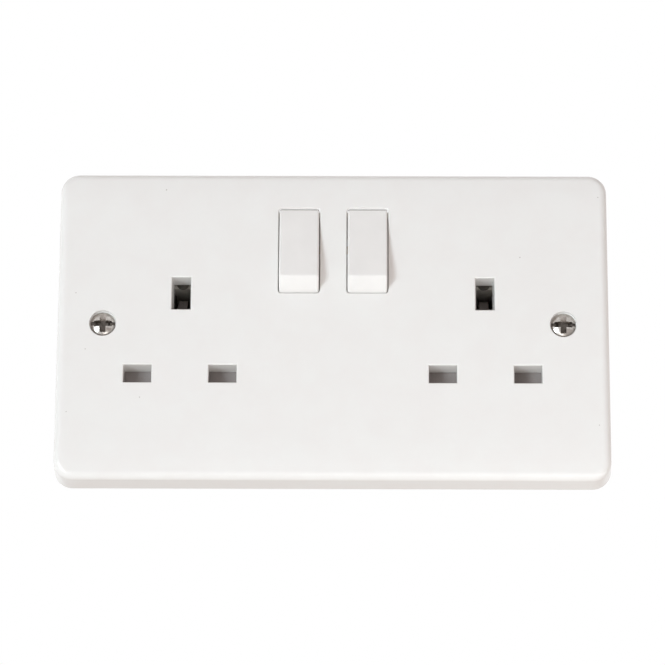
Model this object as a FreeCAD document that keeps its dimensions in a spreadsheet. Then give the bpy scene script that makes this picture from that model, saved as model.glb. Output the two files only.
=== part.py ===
import FreeCAD, Part
import math
import os
import Sketcher
from FreeCAD import Placement, Rotation, Vector

# Twin switched socket outlet for flush mounting, in millimetres.
# X runs to the right seen from the front, Z up, Y into the wall.
# The origin is midway between the two fixing screws, on the plane of the plate's rear rim.

doc = FreeCAD.newDocument("twin_socket")
sheet = doc.addObject("Spreadsheet::Sheet", "Sizes")
rows = []
pieces = []


class Size:
    """A number of the sheet, or a sum built from such numbers, with the expression behind it."""

    def __init__(self, value, text):
        self.value = value
        self.text = text

    def __add__(self, other):
        other = as_size(other)
        return Size(self.value + other.value, "(%s + %s)" % (self.text, other.text))

    def __radd__(self, other):
        return as_size(other) + self

    def __sub__(self, other):
        other = as_size(other)
        return Size(self.value - other.value, "(%s - %s)" % (self.text, other.text))

    def __rsub__(self, other):
        return as_size(other) - self

    def __mul__(self, other):
        other = as_size(other)
        return Size(self.value * other.value, "(%s * %s)" % (self.text, other.text))

    def __rmul__(self, other):
        return as_size(other) * self

    def __truediv__(self, other):
        other = as_size(other)
        return Size(self.value / other.value, "(%s / %s)" % (self.text, other.text))

    def __neg__(self):
        return Size(-self.value, "(0 - %s)" % self.text)


def as_size(number):
    return number if isinstance(number, Size) else Size(float(number), repr(float(number)))


def root(size):
    return Size(math.sqrt(size.value), "sqrt(%s)" % size.text)


def cosine(angle):
    return Size(math.cos(math.radians(angle.value)), "cos(%s * 1deg)" % angle.text)


def sine(angle):
    return Size(math.sin(math.radians(angle.value)), "sin(%s * 1deg)" % angle.text)


def size(name, value, note):
    row = len(rows) + 1
    rows.append(name)
    sheet.set("A%d" % row, name)
    sheet.set("B%d" % row, str(value))
    sheet.set("C%d" % row, note)
    sheet.setAlias("B%d" % row, name)
    return Size(float(value), "Sizes." + name)


def edges_where(shape, test):
    return ["Edge%d" % (i + 1) for i, edge in enumerate(shape.Edges) if test(edge.BoundBox)]


def on_plane(box, axis, level, slack=0.02):
    low, high = {"x": (box.XMin, box.XMax), "y": (box.YMin, box.YMax), "z": (box.ZMin, box.ZMax)}[axis]
    return abs(low - level) < slack and abs(high - level) < slack


def draw(sketch, corners):
    """Closed outline. A corner is (x, y), or (x, y, mid_x, mid_y, radius) where an arc runs on from it."""
    first = sketch.GeometryCount
    count = len(corners)
    points = [(as_size(c[0]), as_size(c[1])) for c in corners]
    for i, corner in enumerate(corners):
        here = Vector(points[i][0].value, points[i][1].value, 0)
        there = Vector(points[(i + 1) % count][0].value, points[(i + 1) % count][1].value, 0)
        if len(corner) == 5:
            middle = Vector(as_size(corner[2]).value, as_size(corner[3]).value, 0)
            sketch.addGeometry(Part.Arc(here, middle, there), False)
        else:
            sketch.addGeometry(Part.LineSegment(here, there), False)
    starts = []
    for i, corner in enumerate(corners):
        here = Vector(points[i][0].value, points[i][1].value, 0)
        # an arc is stored anticlockwise, so its first end may be the corner that follows
        swapped = len(corner) == 5 and (sketch.getPoint(first + i, 1) - here).Length > 1e-6
        starts.append((2, 1) if swapped else (1, 2))
    for i in range(count):
        after = (i + 1) % count
        sketch.addConstraint(
            Sketcher.Constraint("Coincident", first + i, starts[i][1], first + after, starts[after][0])
        )
    for i, (x, y) in enumerate(points):
        for kind, axis, value in (("DistanceX", -2, x), ("DistanceY", -1, y)):
            if abs(value.value) < 1e-9:
                sketch.addConstraint(Sketcher.Constraint("PointOnObject", first + i, starts[i][0], axis))
                continue
            index = sketch.addConstraint(
                Sketcher.Constraint(kind, -1, 1, first + i, starts[i][0], value.value)
            )
            sketch.setExpression("Constraints[%d]" % index, value.text)
    for i, corner in enumerate(corners):
        if len(corner) != 5:
            continue
        here, there = points[i], points[(i + 1) % count]
        span = math.hypot(there[0].value - here[0].value, there[1].value - here[1].value)
        if abs(span - 2 * corner[4].value) > 1e-6:
            index = sketch.addConstraint(Sketcher.Constraint("Radius", first + i, corner[4].value))
            sketch.setExpression("Constraints[%d]" % index, corner[4].text)
            continue
        # a half circle is held by its centre, because its ends already give its radius
        upright = abs(there[0].value - here[0].value) < 1e-6
        kind, value = ("DistanceX", here[0]) if upright else ("DistanceY", here[1])
        index = sketch.addConstraint(Sketcher.Constraint(kind, -1, 1, first + i, 3, value.value))
        sketch.setExpression("Constraints[%d]" % index, value.text)


def draw_circle(sketch, x, y, radius):
    x, y = as_size(x), as_size(y)
    index = sketch.addGeometry(
        Part.Circle(Vector(x.value, y.value, 0), Vector(0, 0, 1), radius.value), False
    )
    for kind, axis, value in (("DistanceX", -2, x), ("DistanceY", -1, y)):
        if abs(value.value) < 1e-9:
            sketch.addConstraint(Sketcher.Constraint("PointOnObject", index, 3, axis))
            continue
        at = sketch.addConstraint(Sketcher.Constraint(kind, -1, 1, index, 3, value.value))
        sketch.setExpression("Constraints[%d]" % at, value.text)
    at = sketch.addConstraint(Sketcher.Constraint("Radius", index, radius.value))
    sketch.setExpression("Constraints[%d]" % at, radius.text)


def box_outline(x, y):
    return [(x[0], y[0]), (x[1], y[0]), (x[1], y[1]), (x[0], y[1])]


class Piece:
    """One separate piece of the product: a body whose features lie between named levels."""

    def __init__(self, label):
        self.label = label
        self.body = doc.addObject("PartDesign::Body", label)
        self.body.Label = label
        self.count = 0
        pieces.append(self.body)

    def place(self, x=None, y=None, z=None, tilt=None):
        if tilt is not None:
            self.body.Placement = Placement(Vector(), Rotation(Vector(1, 0, 0), tilt.value))
            self.body.setExpression("Placement.Rotation.Angle", tilt.text)
        for axis, value in (("x", x), ("y", y), ("z", z)):
            if value is not None:
                self.body.setExpression("Placement.Base." + axis, as_size(value).text)

    def sketch(self, plane, level):
        self.count += 1
        sketch = self.body.newObject("Sketcher::SketchObject", "%s_sketch_%d" % (self.label, self.count))
        origin = [f for f in self.body.Origin.OriginFeatures if f.Role == plane + "_Plane"][0]
        sketch.AttachmentSupport = (origin, [""])
        sketch.MapMode = "FlatFace"
        # the XZ plane faces the front, so its offset counts towards the viewer
        offset = -as_size(level) if plane == "XZ" else as_size(level)
        if abs(offset.value) > 1e-9:
            sketch.setExpression("AttachmentOffset.Base.z", offset.text)
        return sketch

    def fill(self, sketch, outlines):
        for outline in outlines:
            if isinstance(outline, tuple):
                draw_circle(sketch, *outline)
            else:
                draw(sketch, outline)

    def pad(self, plane, low, high, *outlines, draft=None):
        sketch = self.sketch(plane, high if plane == "XZ" else low)
        self.fill(sketch, outlines)
        feature = self.body.newObject("PartDesign::Pad", "%s_pad_%d" % (self.label, self.count))
        feature.Profile = sketch
        feature.setExpression("Length", (as_size(high) - low).text)
        if draft is not None:
            feature.setExpression("TaperAngle", "(0 - %s) * 1deg" % draft.text)
        sketch.Visibility = False
        return feature

    def pocket(self, plane, low, high, *outlines):
        sketch = self.sketch(plane, low if plane == "XZ" else high)
        self.fill(sketch, outlines)
        feature = self.body.newObject("PartDesign::Pocket", "%s_pocket_%d" % (self.label, self.count))
        feature.Profile = sketch
        feature.setExpression("Length", (as_size(high) - low).text)
        sketch.Visibility = False
        return feature

    def turn(self, kind, plane, level, axis, *outlines, axis_line=None):
        sketch = self.sketch(plane, level)
        self.fill(sketch, outlines)
        if axis_line is not None:
            line = sketch.addGeometry(
                Part.LineSegment(Vector(-1, axis_line.value, 0), Vector(1, axis_line.value, 0)), True
            )
            sketch.addConstraint(Sketcher.Constraint("Horizontal", line))
            for point, value in ((1, -1.0), (2, 1.0)):
                sketch.addConstraint(Sketcher.Constraint("DistanceX", -1, 1, line, point, value))
            at = sketch.addConstraint(
                Sketcher.Constraint("DistanceY", -1, 1, line, 1, axis_line.value)
            )
            sketch.setExpression("Constraints[%d]" % at, axis_line.text)
            axis = "Axis0"
        feature = self.body.newObject("PartDesign::" + kind, "%s_turn_%d" % (self.label, self.count))
        feature.Profile = sketch
        feature.ReferenceAxis = (sketch, [axis])
        feature.Angle = 360
        sketch.Visibility = False
        return feature

    def fillet(self, radius, test):
        doc.recompute()
        tip = self.body.Tip
        self.count += 1
        feature = self.body.newObject("PartDesign::Fillet", "%s_fillet_%d" % (self.label, self.count))
        feature.Base = (tip, edges_where(tip.Shape, test))
        feature.setExpression("Radius", radius.text)
        return feature


# Plate
plate_width = size("plate_width", 145, "across the rear rim")
plate_height = size("plate_height", 85, "down the rear rim")
plate_depth = size("plate_depth", 9, "rear rim to front face")
plate_corner = size("plate_corner", 5, "corner radius seen from the front")
plate_edge = size("plate_edge", 2, "radius between front face and sides")
plate_draft = size("plate_draft", 2, "draft of the sides, degrees")
plate_wall = size("plate_wall", 2.2, "thickness of the rim walls")
face_thickness = size("face_thickness", 2.5, "thickness of the front wall")
crown_start = size("crown_start", 33, "height above the centre where the face starts to roll off")
crown_drop = size("crown_drop", 0.5, "how far it has rolled off at the plate's top and bottom")
fixing_half = size("fixing_half", 60.3, "half the fixing centres of a twin box")
boss_radius = size("boss_radius", 5.2, "screw boss behind the plate")
boss_back = size("boss_back", 1, "how far the bosses stop short of the rear rim")

# Pin apertures and clips
socket_half = size("socket_half", 39.85, "each earth pin from the plate's middle")
earth_height = size("earth_height", 8.4, "earth pins above the fixing screws")
pin_drop = size("pin_drop", 22.22, "earth pin centre down to the line pins")
pin_half = size("pin_half", 11.11, "line pins left and right of the earth pin")
earth_slot_width = size("earth_slot_width", 5.05, "earth aperture")
earth_slot_height = size("earth_slot_height", 8.9, "earth aperture")
line_slot_width = size("line_slot_width", 7.3, "live and neutral apertures")
line_slot_height = size("line_slot_height", 4.85, "live and neutral apertures")
slot_edge = size("slot_edge", 0.35, "rounding of the apertures' front edges")
collar_wall = size("collar_wall", 1.2, "wall of the guide collars behind the apertures")
collar_length = size("collar_length", 3.6, "guide collars behind the front wall")
earth_throat = size("earth_throat", 4.25, "earth aperture's width where its collar ends")
earth_pin_width = size("earth_pin_width", 4, "plug's earth pin, across")
earth_pin_height = size("earth_pin_height", 8, "plug's earth pin, up and down")
line_pin_height = size("line_pin_height", 4, "plug's line pins")
earth_pin_reach = size("earth_pin_reach", 22.7, "earth pin beyond the plug's face")
line_clip_width = size("line_clip_width", 5.5, "clips for the line pins")
earth_leaf_inset = size("earth_leaf_inset", 0.4, "earth clip's leaves short of the pin's height at each end")
clip_front = size("clip_front", 0.6, "line clips' mouths behind the rim")
clip_bite = size("clip_bite", 4, "line clips' tightest place behind their mouths")
earth_bite = size("earth_bite", 5, "earth clips' tightest place behind the strap's front")
clip_mouth_slack = size("clip_mouth_slack", 0.6, "clip's mouth beyond the pin on each side")
clip_pinch = size("clip_pinch", 0.2, "clip's bite inside the pin on each side")
clip_base_slack = size("clip_base_slack", 0.4, "clip's base beyond the pin on each side")
strip = size("strip", 0.8, "thickness of the brass strips")

# Rockers
rocker_half = size("rocker_half", 9, "rocker centres from the plate's middle")
rocker_height = size("rocker_height", 20.4, "rocker pivots above the fixing screws")
rocker_width = size("rocker_width", 10.5, "rocker across")
rocker_side_gap = size("rocker_side_gap", 0.22, "clearance on each side of a rocker")
pivot_depth = size("pivot_depth", 7, "rocker pivots behind the front face")
rocker_radius = size("rocker_radius", 13.35, "rocker end faces about the pivot")
rocker_gap = size("rocker_gap", 0.2, "clearance between a rocker's ends and the plate")
rocker_tilt = size("rocker_tilt", 10.1, "rocker off or on from its middle position, degrees")
rocker_wall = size("rocker_wall", 1.3, "rocker's skin")
rocker_edge = size("rocker_edge", 0.6, "rounding of the rocker's front edges and corners")
skirt_back = size("skirt_back", 2.4, "rocker's end skirts stop ahead of the pivot")
cheek_reach = size("cheek_reach", 3, "rocker's cheeks beyond its trunnions")
cheek_back = size("cheek_back", 2.2, "rocker's cheeks behind the pivot")
bearing_wall = size("bearing_wall", 1.4, "plate's bearing walls beside the rockers")
bearing_half_length = size("bearing_half_length", 11, "half the bearing walls' length")
trunnion_radius = size("trunnion_radius", 1.5, "rocker's trunnions")
trunnion_clearance = size("trunnion_clearance", 0.05, "round the trunnions")
plunger_radius = size("plunger_radius", 1.8, "plunger in the rocker's tube")
plunger_clearance = size("plunger_clearance", 0.08, "round the plunger")
tube_wall = size("tube_wall", 1.1, "rocker's plunger tube")
tube_end = size("tube_end", 4.5, "tube's mouth behind the pivot")
tube_seat = size("tube_seat", 0.8, "spring's seat in the tube behind the rocker's skin")
plunger_start = size("plunger_start", 0.4, "plunger's spring end behind the pivot")
plunger_reach = size("plunger_reach", 12.3, "plunger's nose behind the pivot")
nose_radius = size("nose_radius", 1.2, "plunger's rounded nose")
shoulder_start = size("shoulder_start", 3, "plunger's taper starts behind the tube's mouth")
shoulder_length = size("shoulder_length", 1.5, "plunger's taper down to its nose")
spring_wire = size("spring_wire", 0.4, "wire of the rocker springs")
spring_turns = size("spring_turns", 4.5, "turns of the rocker springs")
spring_slack = size("spring_slack", 0.12, "springs clear of their bores and seats")

# Switch contacts
fulcrum_reach = size("fulcrum_reach", 13.4, "fulcrum edge behind the pivot")
bar_width = size("bar_width", 4, "moving contact across")
bar_thickness = size("bar_thickness", 1, "moving contact strip")
bar_gap = size("bar_gap", 0.05, "moving contact from its fulcrum and from the plunger")
bar_lift = size("bar_lift", 0.7, "arms of the moving contact ahead of its dished middle")
dish_radius = size("dish_radius", 4.4, "dish that the plunger's nose rides in")
bar_upper = size("bar_upper", 9.5, "contact arm above the fulcrum")
bar_lower = size("bar_lower", 6, "free arm below the fulcrum")
rock_ratio = size("rock_ratio", 0.8, "moving contact's turn for each degree of the rocker's")
tip_height = size("tip_height", 8, "contact tips above the fulcrum")
tip_radius = size("tip_radius", 1.4, "silver contact tips")
moving_tip_length = size("moving_tip_length", 0.9, "tip on the moving contact")
tip_gap = size("tip_gap", 0.08, "between the tips when on, at the closest")
fixed_tip_length = size("fixed_tip_length", 0.7, "tip on the live busbar")
fixed_tip_margin = size("fixed_tip_margin", 0.2, "fixed tip wider than the moving tip, on the radius")

# Rear moulding
deck_front = size("deck_front", 0.2, "moulding's front face ahead of the plate's rim")
moulding_depth = size("moulding_depth", 16.8, "moulding behind the rim")
floor_thickness = size("floor_thickness", 1.8, "moulding's rear wall")
moulding_margin = size("moulding_margin", 17.65, "moulding beyond the earth pins on each side")
moulding_half_height = size("moulding_half_height", 34.5, "moulding up and down")
lug_notch_half = size("lug_notch_half", 9, "half the height of the notches for the box lugs")
lug_room = size("lug_room", 7.3, "notches for the box lugs, inside the fixing screws")
moulding_corner = size("moulding_corner", 3, "moulding's outer corners")
pocket_slack = size("pocket_slack", 0.35, "round the brass parts in their pockets")
strip_level = size("strip_level", 0.2, "brass strips ahead of the rear wall")
chamber_wall = size("chamber_wall", 1.6, "moulding above the switch chamber")
relief_wall = size("relief_wall", 1.6, "walls round the moulding's core-outs")
post_margin = size("post_margin", 10.15, "assembly screws beyond the earth pins on each side")
post_top = size("post_top", 26, "upper assembly screws")
post_bottom = size("post_bottom", 28.5, "lower assembly screws, below the middle")
post_radius = size("post_radius", 3.4, "plate's posts for the assembly screws")
assembly_shank = size("assembly_shank", 1.35, "assembly screw's radius")
assembly_head = size("assembly_head", 2.8, "assembly screw's head radius")
assembly_head_height = size("assembly_head_height", 1.9, "assembly screw's head")
assembly_seat = size("assembly_seat", 0.4, "assembly screws' heads below the moulding's rear face")
assembly_edge = size("assembly_edge", 0.7, "rounding of the assembly screws' heads")
assembly_point = size("assembly_point", 1.5, "assembly screw's point")
assembly_slot = size("assembly_slot", 0.9, "depth of the slots in the assembly screws' heads")
driver_slot = size("driver_slot", 0.8, "width of the slots in the terminal and assembly screws")
assembly_length = size("assembly_length", 18, "assembly screw under its head")
screw_fit = size("screw_fit", 0.03, "screws in their own threads")

# Terminals
line_terminal_x = size("line_terminal_x", 20, "live terminal right and neutral left of the middle")
earth_terminal_x = size("earth_terminal_x", 7, "earth terminals from the middle")
terminal_half_width = size("terminal_half_width", 4, "terminal pillars")
terminal_top = size("terminal_top", 24, "pillars' upper ends below the fixing screws")
terminal_length = size("terminal_length", 8.6, "pillars along the wire")
terminal_front = size("terminal_front", 5, "pillars' front faces behind the rim")
terminal_back = size("terminal_back", 14.6, "pillars' rear faces behind the rim")
wire_bore = size("wire_bore", 2.5, "radius of the wire bores")
wire_depth = size("wire_depth", 8.9, "wire bores behind the rim")
clamp_radius = size("clamp_radius", 2.2, "terminal screws")
clamp_up = size("clamp_up", 4.2, "terminal screws below the pillars' upper ends")
clamp_start = size("clamp_start", 11.6, "terminal screws' inner ends behind the rim, backed out")
clamp_length = size("clamp_length", 5.6, "terminal screws")
clamp_chamfer = size("clamp_chamfer", 0.5, "chamfer of the terminal screws' inner ends")
clamp_slot = size("clamp_slot", 1, "depth of the terminal screws' slots")
bore_end = size("bore_end", 1.2, "blind end of the wire bores")

# Live and neutral strips
live_run = size("live_run", 3.5, "upper edge of the load strips below the fixing screws")
run_width = size("run_width", 3.4, "brass strips along the moulding")
riser_width = size("riser_width", 3.2, "load strips where they drop to the live clips")
neutral_run = size("neutral_run", 19.7, "upper edge of the neutral strip below the fixing screws")
foot_top = size("foot_top", 16.4, "busbar's foot below the fixing screws")
web_front = size("web_front", 5, "busbar's web starts behind the rim")

# Earth strap
ring_radius = size("ring_radius", 4, "earth strap's rings behind the screw bosses")
strap_arm = size("strap_arm", 1.8, "half the width of the strap's arms")
window_drop = size("window_drop", 2.2, "window's lower edge below the fixing screws")
window_room = size("window_room", 1.2, "window's upper edge above the earth pin")
window_rim = size("window_rim", 3, "strap round the window")
tab_half = size("tab_half", 1.5, "half the width of the tab at the window's top")
tab_sides = size("tab_sides", 0.32, "straight sides of the tab")
tab_round = size("tab_round", 1.8, "radius of the tab's end")
link_height = size("link_height", 4, "strap's link between the sockets, its middle")
fold_width = size("fold_width", 3, "half the strap's centre arm")

# Shutters
shutter_gap = size("shutter_gap", 0.15, "shutters from what they slide on")
shutter_margin = size("shutter_margin", 0.8, "shutter blade beyond the apertures at the sides")
shutter_top = size("shutter_top", 3.2, "blade above the line pins' centre")
shutter_bottom = size("shutter_bottom", 3.4, "blade below the line pins' centre")
shutter_travel = size("shutter_travel", 5.6, "shutters open downwards")
tongue_width = size("tongue_width", 2.4, "tongue that the earth pin pushes")
tongue_thickness = size("tongue_thickness", 1.6, "tongue's strip")
ramp_depth = size("ramp_depth", 6.15, "ramp's slope, front to back")
ramp_tip = size("ramp_tip", 0.9, "flat on the ramp's upper end")
return_wire = size("return_wire", 0.45, "wire of the shutter springs")
return_radius = size("return_radius", 1.6, "shutter springs, middle of the wire")
return_turns = size("return_turns", 6, "turns of the shutter springs")
return_seat = size("return_seat", 30.5, "spring seats below the fixing screws")
seat_thickness = size("seat_thickness", 1.5, "plate's ledges under the shutter springs")
coil_seat = size("coil_seat", 0.02, "springs' ends from their seats")

# Fixing screws
head_radius = size("head_radius", 3.2, "raised countersunk head")
head_recess = size("head_recess", 0.9, "head's rim below the front face")
head_edge = size("head_edge", 0.25, "upright edge of the head above its cone")
head_rise = size("head_rise", 1, "dome above the head's rim")
head_clearance = size("head_clearance", 0.35, "round the head's upright edge")
head_seat = size("head_seat", 0.14, "countersink behind the head's cone")
neck_radius = size("neck_radius", 1.5, "waisted neck inside the plate")
neck_clearance = size("neck_clearance", 0.6, "round the neck, so that the thread passes")
thread_radius = size("thread_radius", 1.75, "M3.5 thread")
thread_start = size("thread_start", 0.5, "thread starts behind the rim")
thread_point = size("thread_point", 1, "bevel at the screw's point")
screw_end = size("screw_end", 16, "screw's point behind the rim")
cross_length = size("cross_length", 2.4, "half the cross recess")
cross_width = size("cross_width", 0.7, "half the width of the cross recess's arms")
cross_depth = size("cross_depth", 2.1, "cross recess below the dome's top")
slot_width = size("slot_width", 0.42, "half the width of the slot across the head")
slot_depth = size("slot_depth", 1.2, "slot below the dome's top")

# Levels along Y
face = -plate_depth
inner = face + face_thickness
collar_back = inner + collar_length
strap_back = -deck_front
strap_front = strap_back - strip
shutter_front = collar_back + shutter_gap
pivot = face + pivot_depth
floor_inner = moulding_depth - floor_thickness
strip_back = floor_inner - strip_level
strip_front = strip_back - strip
line_height = earth_height - pin_drop
terminal_bottom = -terminal_top - terminal_length
foot_front = terminal_front
clamp_height = -terminal_top - clamp_up
aperture_radius = rocker_radius + rocker_gap
opening_half = rocker_width / 2 + rocker_side_gap
post_x = socket_half + post_margin
moulding_half_width = socket_half + moulding_margin
bearing_outer = opening_half + bearing_wall
bar_rock = rocker_tilt * rock_ratio
fulcrum = pivot + fulcrum_reach
window_half = earth_pin_width / 2 + clip_mouth_slack
window_top = earth_height + earth_pin_height / 2 + window_room
ramp_low = earth_height - earth_pin_height / 2
ramp_end = shutter_front + ramp_depth + ramp_tip
spring_level = (shutter_front + strap_back) / 2
assembly_seat_level = moulding_depth - assembly_head_height - assembly_seat
over = 1
sides = (("left", -1), ("right", 1))
line_pins = [(side * socket_half + pole * pin_half) for _, side in sides for pole in (-1, 1)]


def front_plate():
    plate = Piece("front_plate")
    half_width = plate_width / 2
    half_height = plate_height / 2
    plate.pad("XZ", face, 0, box_outline((-half_width, half_width), (-half_height, half_height)),
              draft=plate_draft)
    plate.fillet(plate_corner, lambda b: b.YLength > 0.9 * plate_depth.value)
    # the face rolls off towards its upper and lower edges in long arcs
    run = half_height - crown_start
    crown_radius = (run * run + crown_drop * crown_drop) / (crown_drop * 2)
    middle = run / 2
    sag = crown_radius.value - math.sqrt(crown_radius.value ** 2 - middle.value ** 2)
    rolls = []
    for sign in (1, -1):
        rolls.append([
            (face, sign * crown_start, face + sag, sign * (crown_start + middle), crown_radius),
            (face + crown_drop, sign * half_height),
            (face + crown_drop, sign * (half_height + over)),
            (face - over, sign * (half_height + over)),
            (face - over, sign * crown_start),
        ])
    plate.pocket("YZ", -half_width - over, half_width + over, *rolls)
    front = face.value + crown_drop.value + 0.05
    plate.fillet(plate_edge, lambda b: b.YMax < front and not on_crown_line(b))
    plate.pocket("XZ", inner, 0, box_outline((plate_wall - half_width, half_width - plate_wall),
                                             (plate_wall - half_height, half_height - plate_wall)))
    # screw bosses, posts for the assembly screws and guide collars
    plate.pad("XZ", inner, -boss_back, (-fixing_half, 0, boss_radius), (fixing_half, 0, boss_radius))
    posts = [(x * post_x, z, post_radius) for x in (-1, 1) for z in (post_top, -post_bottom)]
    plate.pad("XZ", inner, -deck_front, *posts)
    collars = []
    slots = []
    for _, side in sides:
        slots.append((side * socket_half, earth_height, earth_slot_width / 2, earth_slot_height / 2))
    for x in line_pins:
        slots.append((x, line_height, line_slot_width / 2, line_slot_height / 2))
    for x, z, wide, high in slots:
        collars.append(box_outline((x - wide - collar_wall, x + wide + collar_wall),
                                   (z - high - collar_wall, z + high + collar_wall)))
    plate.pad("XZ", inner, collar_back, *collars)
    walls = []
    for _, side in sides:
        for edge in (-1, 1):
            near = side * rocker_half + edge * opening_half
            far = side * rocker_half + edge * bearing_outer
            low, high = (near, far) if edge > 0 else (far, near)
            walls.append(box_outline((low, high), (rocker_height - bearing_half_length,
                                                   rocker_height + bearing_half_length)))
    plate.pad("XZ", inner, -deck_front, *walls)
    # ledges that the shutter springs stand on
    room = return_radius + return_wire / 2 + pocket_slack
    plate.pad("XZ", inner, -deck_front, *[box_outline(
        (side * socket_half - room, side * socket_half + room),
        (-return_seat - seat_thickness, -return_seat)) for _, side in sides])
    # rocker openings: their ends follow the rockers' arc about the pivot
    openings = []
    for _, side in sides:
        x = side * rocker_half
        openings.append(box_outline((x - opening_half, x + opening_half),
                                    (pivot - aperture_radius, pivot)))
    plate.turn("Groove", "XY", rocker_height, None, *openings, axis_line=pivot)
    plate.fillet(rocker_edge + rocker_side_gap, lambda b: b.XLength < 0.01
                 and abs(b.YLength - face_thickness.value) < 0.01
                 and abs((b.ZMin + b.ZMax) / 2 - rocker_height.value) > bearing_half_length.value)
    # line apertures go straight through, earth apertures narrow to their throat
    plate.pocket("XZ", face - over, 0, *[
        box_outline((x - wide, x + wide), (z - high, z + high)) for x, z, wide, high in slots[2:]])
    mouth = earth_slot_width / 2
    throat = earth_throat / 2
    plate.pocket("XY", earth_height - earth_slot_height / 2, earth_height + earth_slot_height / 2, *[[
        (x - mouth, face - over), (x + mouth, face - over), (x + mouth, face), (x + throat, collar_back),
        (x + throat, collar_back + over), (x - throat, collar_back + over), (x - throat, collar_back),
        (x - mouth, face)] for x in (slots[0][0], slots[1][0])])
    # bearing slots, open to the rear
    bearing = trunnion_radius + trunnion_clearance
    reach = rocker_half + bearing_outer + over
    plate.pocket("YZ", -reach, reach, [
        (over, rocker_height - bearing),
        (over, rocker_height + bearing),
        (pivot, rocker_height + bearing, pivot - bearing, rocker_height, bearing),
        (pivot, rocker_height - bearing),
    ])
    # countersinks and holes for the fixing screws, pilot holes for the assembly screws
    for x in (-fixing_half, fixing_half):
        hole = neck_radius + neck_clearance
        mouth = head_radius + head_clearance
        deep = face + head_recess + head_edge + head_seat - head_clearance
        plate.pocket("XZ", face - over, -boss_back + over, (x, 0, hole))
        cone = plate.sketch("XY", 0)
        draw(cone, [(x, face - over), (x + mouth, face - over), (x + mouth, deep),
                    (x + hole, deep + mouth - hole), (x, deep + mouth - hole)])
        line = cone.addGeometry(
            Part.LineSegment(Vector(x.value, -1, 0), Vector(x.value, 1, 0)), True)
        cone.addConstraint(Sketcher.Constraint("Vertical", line))
        cone.addConstraint(Sketcher.Constraint("DistanceY", -1, 1, line, 1, -1.0))
        cone.addConstraint(Sketcher.Constraint("DistanceY", -1, 1, line, 2, 1.0))
        at = cone.addConstraint(Sketcher.Constraint("DistanceX", -1, 1, line, 1, x.value))
        cone.setExpression("Constraints[%d]" % at, x.text)
        sink = plate.body.newObject("PartDesign::Groove", "countersink_%d" % plate.count)
        sink.Profile = cone
        sink.ReferenceAxis = (cone, ["Axis0"])
        sink.Angle = 360
    pilots = [(x * post_x, z, assembly_shank + screw_fit)
              for x in (-1, 1) for z in (post_top, -post_bottom)]
    plate.pocket("XZ", inner + over, -deck_front + over, *pilots)
    plate.fillet(slot_edge, lambda b: on_plane(b, "y", face.value)
                 and abs(b.XMin + b.XMax) / 2 < fixing_half.value - boss_radius.value
                 and max(abs(b.ZMin), abs(b.ZMax)) < crown_start.value - slot_edge.value)
    return plate


def on_crown_line(box):
    """The line where the flat of the face meets its long arc, which is no edge to round."""
    return abs(box.ZMax - box.ZMin) < 0.01 and abs(abs(box.ZMax) - crown_start.value) < 0.01


def rocker(label, side):
    # built about its pivot in its middle position, then tilted to off
    piece = Piece(label)
    half = rocker_width / 2
    chord = root(rocker_radius * rocker_radius - pivot_depth * pivot_depth)
    front = -(pivot_depth * cosine(rocker_tilt) + chord * sine(rocker_tilt))
    corner = root(rocker_radius * rocker_radius - front * front)
    piece.pad("YZ", -half, half, [
        (front, corner, rocker_radius, 0, rocker_radius),
        (front, -corner),
    ])
    cheek = trunnion_radius + cheek_reach
    far = rocker_radius + over
    side_far = half + over
    piece.pocket("XZ", -skirt_back, far,
                 box_outline((-side_far, side_far), (cheek, far)),
                 box_outline((-side_far, side_far), (-far, -cheek)))
    piece.pocket("XZ", cheek_back, far, box_outline((-side_far, side_far), (-far, far)))
    inside = rocker_radius - rocker_wall
    hollow = front + rocker_wall
    hollow_corner = root(inside * inside - hollow * hollow)
    piece.pocket("YZ", rocker_wall - half, half - rocker_wall, [
        (hollow, hollow_corner, inside, 0, inside),
        (hollow, -hollow_corner),
    ])
    bore = plunger_radius + plunger_clearance
    piece.pad("XZ", hollow - rocker_wall / 2, tube_end, (0, 0, bore + tube_wall))
    piece.pocket("XZ", hollow + tube_seat, tube_end + over, (0, 0, bore))
    reach = half + bearing_wall - trunnion_clearance * 3
    piece.pad("YZ", half - rocker_wall, reach, (0, 0, trunnion_radius))
    piece.pad("YZ", -reach, rocker_wall - half, (0, 0, trunnion_radius))
    # the front edges, and the upright corners down to the skirts
    skirt = -front.value - skirt_back.value
    piece.fillet(rocker_edge, lambda b: on_plane(b, "y", front.value)
                 or b.XLength < 0.01 and abs(b.YLength - skirt) < 0.01 and abs(b.XMin) > half.value - 0.01)
    piece.place(side * rocker_half, pivot, rocker_height, -rocker_tilt)
    return piece


def plunger(label, side):
    piece = Piece(label)
    nose_centre = plunger_reach - nose_radius
    diagonal = math.sqrt(2)
    shoulder = tube_end + shoulder_start
    piece.turn("Revolution", "XY", 0, "V_Axis", [
        (0, plunger_start),
        (plunger_radius, plunger_start),
        (plunger_radius, shoulder),
        (nose_radius, shoulder + shoulder_length),
        (nose_radius, nose_centre, nose_radius / diagonal, nose_centre + nose_radius / diagonal, nose_radius),
        (0, plunger_reach),
    ])
    piece.place(side * rocker_half, pivot, rocker_height, -rocker_tilt)
    return piece


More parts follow.
